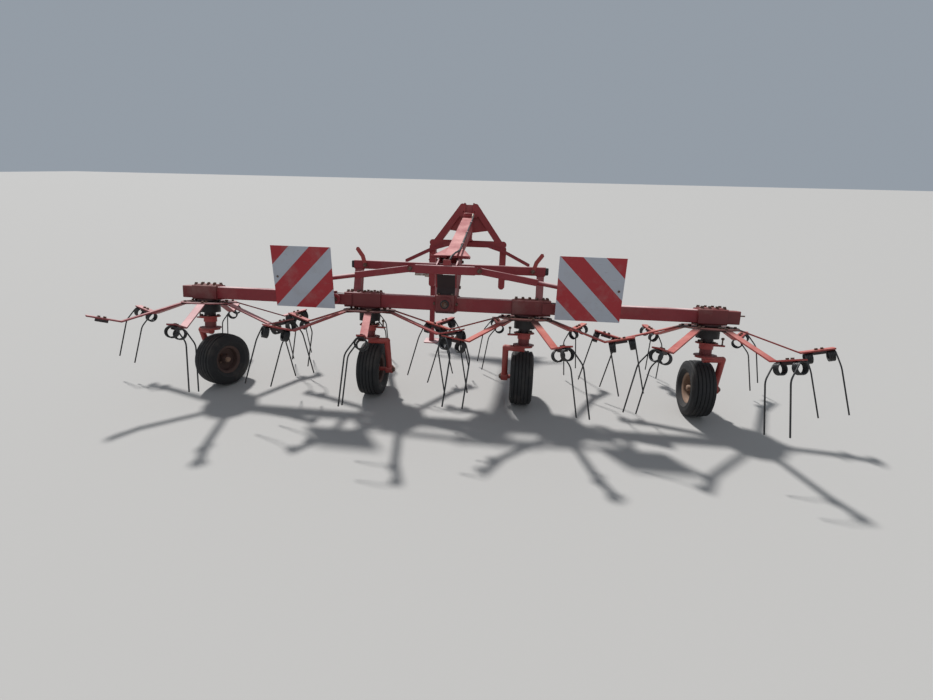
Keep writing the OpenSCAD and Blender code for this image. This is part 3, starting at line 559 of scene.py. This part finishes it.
# Fold links
# On each side a sleeve slides over a square rod, pinned to the centre tube and to the wing, in the
# beam's paint. The heads of their pins and of the wings' hinge pins show.
FOLD_PIN, HINGE_U, HINGE_V, FOLD_EYE = (240, -157, 315), 800, 94, (860, -129, 218)
paint(beam_red, "frame_red", "fold_sleeve_left", "fold_sleeve_right", "fold_rod_left", "fold_rod_right")
bolts("fold_pin_bolts", "frame", [(spot(s * FOLD_PIN[0], *FOLD_PIN[1:]), BACK, 1.1) for s in (-1, 1)])
bolts("hinge_pin_bolts", "frame",
      [(spot(s * HINGE_U, face * HINGE_V, BEAM_UP), way(0, face, 0), 1.2)
       for s in (-1, 1) for face in (-1, 1)])
for side, s in SIDES:
    bolts("fold_eye_bolt_" + side, "link_rod_" + side, [(spot(s * FOLD_EYE[0], *FOLD_EYE[1:]), BACK, 1.3)])

# Lock hooks
# Flat steel levers that catch the folded wings, in a brighter red. Each is bolted to the back of
# the cross tube.
HOOK_BOLT_U, HOOK_BOLT_V, HOOK_BOLT_W = 602, -10.5, 325
arm_red = old_paint("arm_red", (0.34, 0.045, 0.038), (0.64, 0.26, 0.22), upward_strength=0.7, wear=0.7, grime=0.2,
                    rough=0.5)
paint(arm_red, "arm_red", "lock_hooks")
bolts("hook_bolts", "frame",
      [(spot(s * HOOK_BOLT_U, HOOK_BOLT_V, HOOK_BOLT_W), BACK, 1.0) for s in (-1, 1)])

# Boom
# One box section from the upright plates to the swivel tube. Its top is the palest face of
# the machine. A plate and two gussets are welded on at its foot, and bands round the swivel tube.
FOOT_V, FOOT_W, BOOM_RUN, BOOM_CLIMB = 150, 366, 1025, 364
BOOM_SLOPE = math.atan2(BOOM_CLIMB, BOOM_RUN)
FOOT_PLATE = ((-60, 20), (60, 20), (142, 70), (142, 150), (-142, 150), (-142, 70))
FOOT_PLATE_W = (410.3, 417)
GUSSET, GUSSET_H = ((30, 6), (142, 6), (142, 40), (47, 275), (30, 275)), (30, 40)
SWIVEL_FWD, BANDS_W = 1205.0, (640, 700, 762)
BAND = ((44, 0), (47.5, 0.5), (48.5, 3), (48.5, 9), (47.5, 11.5), (44, 12))
boom_red = old_paint("boom_red", (0.30, 0.035, 0.038), (0.74, 0.36, 0.33), upward_strength=0.95, wear=0.5, grime=0.15)
paint(boom_red, "frame_red", "boom")


def on_boom(u, along, off):
    """A point of the boom, across it, along it from its foot and off its middle line."""
    return spot(u, FOOT_V + along * math.cos(BOOM_SLOPE) - off * math.sin(BOOM_SLOPE),
                FOOT_W + along * math.sin(BOOM_SLOPE) + off * math.cos(BOOM_SLOPE))


block("boom_foot_plate", [spot(u, v, w) for w in FOOT_PLATE_W for u, v in FOOT_PLATE], boom_red, "frame")
for side, s in SIDES:
    block("boom_gusset_" + side, [on_boom(s * u, along, off) for off in GUSSET_H for u, along in GUSSET],
          boom_red, "frame", soft=0.0015)
for k, w in enumerate(BANDS_W):
    turned_part("swivel_band_%d" % k, BAND, spot(0, SWIVEL_FWD, w), UP, boom_red, "frame", 40)

# Pressure hose
# A black rubber hose along the boom, between a steel fitting at its top end and a block on the
# centre tube. Three bent clips hold it to the boom's right side.
HOSE_END, HOSE_BEFORE = Vector((53, 1120, 800)), Vector((56, 1060, 765))
FITTING = ((0, 46), (6, 46), (6, 30), (11.5, 30), (11.5, 16), (9.6, 15), (9.6, 9), (10.4, 8), (10.4, 2),
           (9.6, 1), (9.6, -8), (10.4, -9), (10.4, -20), (7.2, -21), (0, -21))
BLOCK_U, BLOCK_V, BLOCK_W, BLOCK_BOLTS = (11, 25), (-120, 22), (344, 384), (-4, 26)
CLIPS, CLIP_HALF, BOOM_SIDE = ((56, 960, 730), (56, 660, 622), (57, 360, 514)), 7, 44
hose_rubber = old_paint("hose_rubber", (0.02, 0.02, 0.022), (0.10, 0.10, 0.10), under=(0.02, 0.02, 0.02),
                        dust=(0.2, 0.18, 0.16), upward_strength=0.5, wear=0.0, grime=0.3, rough=0.5)
paint(hose_rubber, "hose_rubber", "pressure_hose")
turned_part("hose_fitting", FITTING, spot(*HOSE_END), way(*(HOSE_END - HOSE_BEFORE)), shaft_steel, "frame",
            20)
block("hose_block",
      [spot(BLOCK_U[0] + a * BLOCK_U[1], BLOCK_V[0] + b * BLOCK_V[1], w)
       for w in BLOCK_W for a, b in SQUARE],
      boom_red, "frame", soft=0.004)
bolts("hose_block_bolts", "frame", [(spot(u, BLOCK_V[0], BLOCK_W[1]), UP, 0.7) for u in BLOCK_BOLTS])
for k, (u, v, w) in enumerate(CLIPS):
    bend = ((BOOM_SIDE, -22), (u + 5, -10), (u + 10, -4), (u + 10, 5), (u + 4, 10), (u - 5, 10),
            (BOOM_SIDE, 2))
    block("hose_clip_%d" % k,
          [spot(across, v + along, w + high + along * math.tan(BOOM_SLOPE))
           for along in (-CLIP_HALF, CLIP_HALF) for across, high in bend],
          beam_red, "frame")

# Headstock
# Bent legs of tube with a web plate between them, in the boom's paint, and an arch bar across. It
# swivels on the boom's tube under a cap, and steel pins below take the lower links.
MAST_FWD, WEB_BACK, WEB_FRONT, CAP_W = 1295.0, 8, 2, 818
WEB_TOP, WEB_LOW, WEB_DIP, WEB_WIDE = 922, 690, 656, 214.8
WEB = ((-62, WEB_TOP), (62, WEB_TOP), (WEB_WIDE, WEB_LOW), (0, WEB_DIP), (-WEB_WIDE, WEB_LOW))
CAP = ((0, 0), (41, 0), (42, 1), (42, 12), (38, 16), (0, 17))
paint(boom_red, "frame_red", "headstock_frame")
paint(beam_red, "frame_red", "arch_bar")
paint(shaft_steel, "bright_steel", "lower_link_pins")
block("headstock_web",
      [spot(u, v, w) for v in (MAST_FWD - WEB_BACK, MAST_FWD + WEB_FRONT) for u, w in WEB],
      boom_red, "headstock", soft=0.0015)
turned_part("swivel_cap", CAP, spot(0, SWIVEL_FWD, CAP_W), UP, boom_red, "headstock", 40)

# Parking stand
# A square leg with a foot plate that slides in a sleeve on the headstock's left leg, in the beam's
# paint. A steel pin through the sleeve locks it.
STAND_PIN = ((0, -7), (13, -7), (13, 0), (8, 0), (8, 92), (6, 96), (0, 96))
STAND_U, SLEEVE_HALF, STAND_V, PIN_W = -340, 44, 1354.5, 395
paint(beam_red, "frame_red", "stand_sleeve", "stand_leg")
turned_part("stand_pin", STAND_PIN, spot(STAND_U + SLEEVE_HALF, STAND_V, PIN_W), way(-1, 0, 0), bolt_steel,
            "headstock", 16)

# Warning panels
# Square sheets with slanting red and white stripes in film, scratched by years of use, their red and
# white darkened, the white toward blue, as painted shade. Each is bolted to the post on its wing.
STRIPE, FIRST_STRIPE, PANEL_SIDE = 0.34, 0.31, 0.423  # the stripes' sizes are shares of the side
# The film's white and red are darkened, the white toward blue, as painted shade.
SHADED_WHITE_FILM, SHADED_RED_FILM = (0.41, 0.435, 0.485), (0.36, 0.010, 0.018)
SMEAR, SCRATCH = (0.30, 0.27, 0.25), (0.22, 0.10, 0.10)
DIRT, SCRATCHES = (9.0, 7.0, 0.65), (70.0, 4.0, 0.6, 1.2)  # scale, detail, roughness, twist
SCRATCH_TILT, SCRATCH_STRETCH = (0, 0.9, 0), (0.12, 1.0, 1.0)
PANEL_BOLT_OUT, PANEL_BOLT_UP, THIN_HEAD = 0.183, 0.21, 0.005
for side, s in SIDES:
    low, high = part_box("panel_" + side)
    film, tree, shader = new_finish("panel_film_" + side)
    shader.inputs["Roughness"].default_value = 0.38
    place = add(tree, "ShaderNodeTexCoord").outputs["Object"]
    corner = (-(low.x if s < 0 else high.x), 0, -high.z)
    from_corner = add(tree, "ShaderNodeMapping", Vector=place, Location=corner).outputs[0]
    axes = add(tree, "ShaderNodeSeparateXYZ", (from_corner,)).outputs
    inward, down = times(tree, axes[0], -s / PANEL_SIDE), times(tree, axes[2], -1 / PANEL_SIDE)
    slant = add(tree, "ShaderNodeMath", (inward, down), operation="ADD").outputs[0]
    slant = add(tree, "ShaderNodeMath", (slant, 2 * STRIPE - FIRST_STRIPE), operation="ADD").outputs[0]
    wave = add(tree, "ShaderNodeMath", (slant, 2 * STRIPE, 0.0), operation="WRAP").outputs[0]
    red = add(tree, "ShaderNodeMath", (wave, STRIPE), operation="GREATER_THAN").outputs[0]
    stretched = add(tree, "ShaderNodeMapping", Vector=place, Rotation=SCRATCH_TILT, Scale=SCRATCH_STRETCH)
    dirt = speckle(tree, place, *DIRT)
    scratches = speckle(tree, stretched.outputs[0], *SCRATCHES)
    shade = lay(tree, SHADED_WHITE_FILM, SHADED_RED_FILM, red)
    shade = lay(tree, shade, SMEAR, times(tree, part(tree, dirt, 0.5, 0.8), 0.35))
    shade = lay(tree, shade, SCRATCH, times(tree, part(tree, scratches, 0.66, 0.70), 0.4))
    tree.links.new(shade, shader.inputs["Base Color"])
    paint(film, "panel_stripes", "panel_" + side)
    seat = Vector(((low.x + high.x) / 2 + s * PANEL_BOLT_OUT, low.y, low.z + PANEL_BOLT_UP))
    bolts("panel_bolts_" + side, "wing_" + side, [(seat, Vector((0, -1, 0)), 0.55)], THIN_HEAD)

# Rotors
# A pressed disc on a drum, with six bent flat arms riveted to it. Disc and drum are dark with old
# grease, more on some rotors than on others, and so are the clamps at the arms' ends.
RISE, CLAMP_R, CLAMP_W = math.radians(14), 667.0, -105.128  # the arm's end climbs, and where its clamp is
ARMS, ARM_THICK, CLAMP_BOLTS = 6, 10, (-16, 16)
RIVETS, RIVET_W = ((120, -12), (120, 12), (165, 0)), 4
ROTORS = {  # place of its axle, way it turns, angle of its first arm, arm that has lost its tines
    "left_outer": (-OUTER_X, -1, 47, 3), "left_inner": (-INNER_X, 1, 43, None),
    "right_inner": (INNER_X, -1, 49, None), "right_outer": (OUTER_X, 1, 49, None)}
ROTOR_PAINT = {  # colour, colour of its upward faces, how far out the grease reaches
    "left_outer": ((0.26, 0.045, 0.05), (0.78, 0.45, 0.43), 0.20),
    "left_inner": ((0.32, 0.045, 0.042), (0.68, 0.31, 0.28), 0.24),
    "right_inner": ((0.36, 0.045, 0.035), (0.62, 0.21, 0.16), 0.31),
    "right_outer": ((0.34, 0.045, 0.038), (0.62, 0.23, 0.19), 0.26)}
DISC_GREASE, CLAMP_BLACK = (0.03, 0.016, 0.013), (0.014, 0.013, 0.013)
DRUM_R, CLAMP_FROM = (0.20, 0.195), (0.60, 0.61)  # from the axle, in metres
GREASE_FADE, UNDER_DISC, UNDER_ARM = 0.06, (-0.003, -0.006), (0.0005, 0.002)  # metres
ARM_LINE = (CLAMP_W - CLAMP_R * math.tan(RISE)) / 1000


def on_arm(axis_x, a, r, along, w):
    """A point of a rotor at an angle: out from its axle, along its turn, and up."""
    return spot(axis_x + r * math.cos(a) - along * math.sin(a), r * math.sin(a) + along * math.cos(a), w)


for which, (axis_x, _, first_arm, _) in ROTORS.items():
    colour, upward_colour, grease_r = ROTOR_PAINT[which]
    worn = old_paint("rotor_" + which, colour, upward_colour, upward_strength=0.8, wear=0.7, grime=0.2, rough=0.5)
    tree = worn.node_tree
    place = add(tree, "ShaderNodeTexCoord").outputs["Object"]
    centred = add(tree, "ShaderNodeMapping", Vector=place, Location=tuple(-spot(axis_x, 0, 0)))
    upright = add(tree, "ShaderNodeMapping", Vector=centred.outputs[0], Rotation=(LEAN, 0, 0)).outputs[0]
    flat = add(tree, "ShaderNodeVectorMath", (upright, (1, 1, 0)), operation="MULTIPLY").outputs[0]
    reach = add(tree, "ShaderNodeVectorMath", (flat,), operation="LENGTH").outputs["Value"]
    height = add(tree, "ShaderNodeSeparateXYZ", (upright,)).outputs[2]
    over_arm = add(tree, "ShaderNodeMath", (reach, -math.tan(RISE), height), operation="MULTIPLY_ADD")
    greasy = times(tree, part(tree, reach, grease_r, grease_r - GREASE_FADE), 0.8)
    drum = times(tree, part(tree, height, *UNDER_DISC), part(tree, reach, *DRUM_R), 0.96)
    under_arm = part(tree, over_arm.outputs[0], *[ARM_LINE - drop for drop in UNDER_ARM])
    clamp = times(tree, under_arm, part(tree, reach, *CLAMP_FROM), 0.95)
    lay_grease_and_shade(worn, (DISC_GREASE, greasy), (GREASE, drum), (CLAMP_BLACK, clamp))
    paint(worn, "arm_red", "rotor_" + which)
    seats = []
    for arm in range(ARMS):
        a = math.radians(first_arm + 360 // ARMS * arm)
        off_arm = way(-math.sin(RISE) * math.cos(a), -math.sin(RISE) * math.sin(a), math.cos(RISE))
        seats += [(on_arm(axis_x, a, r, along, RIVET_W), UP, 0.85) for r, along in RIVETS]
        seats += [(on_arm(axis_x, a, CLAMP_R + d, 0,
                          CLAMP_W + ARM_THICK / math.cos(RISE) + d * math.tan(RISE)), off_arm, 0.85)
                  for d in CLAMP_BOLTS]
    bolts("rotor_bolts_" + which, "spinner_" + which, seats)

# Tines
# Each pair is one length of black spring wire: two coils under the clamp, and from each coil a leg
# with a knee that trails. One arm has lost its pair. The wire is copied round the rotor.
WIRE, COIL_R, COIL_TURNS, COIL_PITCH, SEAT = 9.5, 39.0, 5, 130.0, 0.3
KNEE_LEN, KNEE_TRAIL, LEG_LEN, LEG_TRAIL = 105.0, math.radians(35), 306.0, math.radians(5)
TURN_STEPS, BEND, BEND_STEPS = 18, 26, 6
tine_black = old_paint("tine_black", (0.012, 0.012, 0.013), (0.05, 0.05, 0.05), under=(0.08, 0.04, 0.025),
                       dust=(0.12, 0.10, 0.08), upward_strength=0.4, wear=0.3, grime=0.3, rough=0.38)
tree, tine_sockets, entry, leave = new_tree(
    "Tines round a rotor", (("Wire radius", "NodeSocketFloat", WIRE / 2000),
                            ("First arm", "NodeSocketFloat", 0.0), ("Lost arm", "NodeSocketInt", -1),
                            ("Hub", "NodeSocketVector", None)))
tine_tree = tree
path = add(tree, "GeometryNodeMeshToCurve", Mesh=entry["Geometry"])
wire = thread(tree, path.outputs[0], entry["Wire radius"], 8)
hung = add(tree, "GeometryNodeTransform", Geometry=wire, Translation=(CLAMP_R / 1000, 0, CLAMP_W / 1000),
           Rotation=(0, -RISE, 0))
arms = add(tree, "GeometryNodePoints", Count=ARMS)
number = add(tree, "GeometryNodeInputIndex").outputs[0]
kept = add(tree, "FunctionNodeCompare", (None, None, number, entry["Lost arm"]), data_type="INT",
           operation="NOT_EQUAL")
angle = add(tree, "ShaderNodeMath", (number, math.radians(360 / ARMS), entry["First arm"]),
            operation="MULTIPLY_ADD")
round_hub = add(tree, "ShaderNodeCombineXYZ", Z=angle.outputs[0])
copies = add(tree, "GeometryNodeInstanceOnPoints", Points=arms.outputs[0], Selection=kept.outputs[0],
             Instance=hung.outputs[0], Rotation=round_hub.outputs[0])
leaned = add(tree, "GeometryNodeTransform", Geometry=copies.outputs[0], Translation=entry["Hub"],
             Rotation=(-LEAN, 0, 0))
close_tree(tree, leaned.outputs[0], tine_black, leave)


def half_pair(turn, out):
    """The wire from the middle of the clamp to the tip of one tine."""
    coil_r = COIL_R - WIRE / 2
    half_coil = COIL_TURNS * WIRE / 2 - WIRE / 2
    last = math.radians(360 * (COIL_TURNS - 1) + 90) - KNEE_TRAIL
    middle = out * COIL_PITCH / 2
    line = []
    steps = TURN_STEPS * COIL_TURNS
    for k in range(steps + 1):
        done = k / steps
        a = math.pi / 2 + turn * last * done
        across = middle + out * half_coil * (2 * done - 1)
        line.append(Vector((across, coil_r * math.cos(a), coil_r * math.sin(a))))
    upper = Vector((0, -turn * math.sin(KNEE_TRAIL), -math.cos(KNEE_TRAIL)))
    lower = Vector((0, -turn * math.sin(LEG_TRAIL), -math.cos(LEG_TRAIL)))
    knee = line[-1] + KNEE_LEN * upper
    for k in range(BEND_STEPS + 1):
        t = k / BEND_STEPS
        line.append(knee - BEND * upper * (1 - t) ** 2 + BEND * lower * t ** 2)
    return line + [knee + LEG_LEN * lower]


for which, (axis_x, turn, first_arm, lost_arm) in ROTORS.items():
    line = [p - Vector((0, 0, COIL_R + SEAT)) for p in half_pair(turn, -1)[::-1] + half_pair(turn, 1)]
    mesh = bpy.data.meshes.new("spring_tines_" + which)
    mesh.from_pydata([p / 1000 for p in line], [(k, k + 1) for k in range(len(line) - 1)], [])
    piece = grow(mesh, tine_tree, tine_sockets,
                 {"Wire radius": WIRE / 2000, "First arm": math.radians(first_arm),
                  "Lost arm": -1 if lost_arm is None else lost_arm, "Hub": spot(axis_x, 0, 0)})
    fasten(piece, "spinner_" + which, "tines_" + which)

# Wheels
# Small ribbed rubber tyres, grey with dust, on dished steel rims. Their paint has gone to brown
# rust, and on all but the right outer rim it is darkened as painted shade. Each turns on the axle of its
# fork.
TYRE_R, RIBS, RIB_PITCH, BEAD_PLACE = 203.0, 6, 24.5, (104.2, 50)
RIB = ((-6, -11.2), (-0.6, -9.6), (0, -8), (0, 8), (-0.6, 9.6), (-6, 11.2))
WALL = [(TYRE_R - 17, 75), (TYRE_R - 27, 79), (TYRE_R - 31, 81.4), (TYRE_R - 44, 82.5), (TYRE_R - 58, 82),
        (TYRE_R - 60, 83.0), (TYRE_R - 64, 83.0), (TYRE_R - 66, 81), (TYRE_R - 76, 75), (118, 66), (112, 60),
        (106, 58), BEAD_PLACE]
DISH_FRONT = [(0, 30), (22, 30), (26, 26), (27, 8), (48, 6), (62, -2), (84, -8), (90, -6), (92, 20),
              (94, 52)]
FLANGES = [(102, 58), (110, 60), (110, 57), (104, 54), (98, 48), (97, 20), (95, -6), (99, -40), (104, -54),
           (110, -57), (110, -60), (102, -58)]
DISH_BACK = [(90, -50), (88, -14), (84, -14), (60, -9), (46, -1), (34, -3), (32, -40), (28, -46), (0, -46)]
NUT_R, NUT_FRONT, NUT_BACK = 40, 7, -2.3
joint = {j["child"]: j for j in frame["joints"]}
tyre_rubber = old_paint("tyre_rubber", (0.014, 0.014, 0.015), (0.09, 0.08, 0.07), under=(0.03, 0.03, 0.03),
                        dust=(0.18, 0.15, 0.125), upward_strength=0.5, wear=0.1, grime=0.4, rough=0.72)
rim_brown = old_paint("rim_brown", (0.25, 0.155, 0.105), (0.34, 0.25, 0.19), under=(0.10, 0.04, 0.02),
                      dust=(0.30, 0.25, 0.2), upward_strength=0.4, wear=0.8, grime=0.4, rough=0.7)
# A copy of the rims' paint, darkened as painted shade.
rim_painted_shade = old_paint("rim_painted_shade", (0.075, 0.042, 0.034), (0.16, 0.10, 0.08), under=(0.05, 0.02, 0.012),
                     dust=(0.16, 0.13, 0.10), upward_strength=0.4, wear=0.8, grime=0.3, rough=0.75)
tread = []
for middle in [(k - (RIBS - 1) / 2) * RIB_PITCH for k in range(RIBS)]:
    drop = 0.0 if abs(middle) < 30 else (2.0 if abs(middle) < 50 else 7.0)
    tread += [(TYRE_R - drop + rise, middle + across) for rise, across in RIB]
tyre = tread + WALL + [(r, -x) for r, x in WALL[::-1]]
for which in ROTORS:
    axle = joint["wheel_" + which]
    foot, toward, body = Vector(axle["pos_m"]), Vector(axle["axis"]), "wheel_" + which
    turned_part("ribbed_tyre_" + which, tyre, foot, toward, tyre_rubber, body, 64,
                "tyre_" + which)
    # Every rim but the right outer one takes the copy darkened as painted shade.
    turned_part("dished_rim_" + which, DISH_FRONT + FLANGES + DISH_BACK, foot, toward,
                rim_brown if which == "right_outer" else rim_painted_shade, body, 48, "rim_" + which)
    bolts("wheel_nuts_" + which, body,
          [(stand_on(foot, toward) @ Vector((x, y, z)), s * toward, 0.8)
           for s, x in ((-1, NUT_BACK), (1, NUT_FRONT)) for y, z in circle(4, NUT_R, 45)])

# Wheel forks
# Each is a bent red tube that turns on its stem under a red index plate. It has a collar at its top
# and a lever whose pin sets the wheel's angle, and the axle is bolted through its foot.
FORKS = {  # side that its lever points to, degrees that it is turned
    "left_outer": (-1, -17), "left_inner": (1, 0), "right_inner": (-1, 0), "right_outer": (1, 0)}
INDEX_PLATE = ((39, 0), (72, 0), (73, 1), (73, 7), (72, 8), (39, 8))
COLLAR = ((40.5, 0), (45, 0), (46, 1), (46, 36), (45, 37), (40.5, 37))
LEVER = ((34, -22), (112, -30), (118, -18), (118, 12), (34, 22))
INDEX_PIN = ((0, 0), (5, 0), (5, 34), (9, 36), (11, 42), (9, 50), (0, 52))
AXLE_CAP = ((0, 40), (21, 40), (21, 55), (18, 60), (10, 63), (0, 64))
AXLE_NUT = ((0, 23), (23, 23), (23, 34), (14, 35), (14, 42), (0, 43))
PLATE_W, PLATE_TOP, COLLAR_W, LEVER_W = -112, -104, -150, (-128, -118)
INDEX_BOLT_R, PIN_OUT, PIN_V, AXLE_BACK = 58, 102, -6, 0.1265


def on_fork(axis_x, yaw, u, v, w):
    """A point of a fork that stands turned by yaw."""
    cos, sin = math.cos(math.radians(yaw)), math.sin(math.radians(yaw))
    return spot(axis_x + u * cos - v * sin, u * sin + v * cos, w)


for which, (side, yaw) in FORKS.items():
    axis_x, body = ROTORS[which][0], "wheel_fork_" + which
    stem_body = "frame" if which.endswith("inner") else "wing_" + which.split("_")[0]
    paint(arm_red, "frame_red", "fork_" + which)
    turned_part("index_plate_" + which, INDEX_PLATE, on_fork(axis_x, yaw, 0, 0, PLATE_W), UP, arm_red,
                stem_body, 40)
    bolts("index_bolts_" + which, stem_body,
          [(on_fork(axis_x, yaw, u, v, PLATE_TOP), UP, 0.9) for u, v in circle(4, INDEX_BOLT_R, 35)])
    turned_part("fork_collar_" + which, COLLAR, on_fork(axis_x, yaw, 0, 0, COLLAR_W), UP, arm_red, body,
                32)
    block("index_lever_" + which, [on_fork(axis_x, yaw, side * u, v, w) for w in LEVER_W for u, v in LEVER],
          arm_red, body, 0.0015)
    turned_part("index_pin_" + which, INDEX_PIN, on_fork(axis_x, yaw, side * PIN_OUT, PIN_V, LEVER_W[1]), UP,
                bolt_steel, body, 12)
    axle = joint["wheel_" + which]
    middle, tip = Vector(axle["pos_m"]), side * Vector(axle["axis"])
    turned_part("axle_cap_" + which, AXLE_CAP, middle, tip, rim_brown, "wheel_" + which, 20)
    turned_part("axle_nut_" + which, AXLE_NUT, middle - tip * AXLE_BACK, -tip, bolt_steel, body,
                6)

low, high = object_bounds()
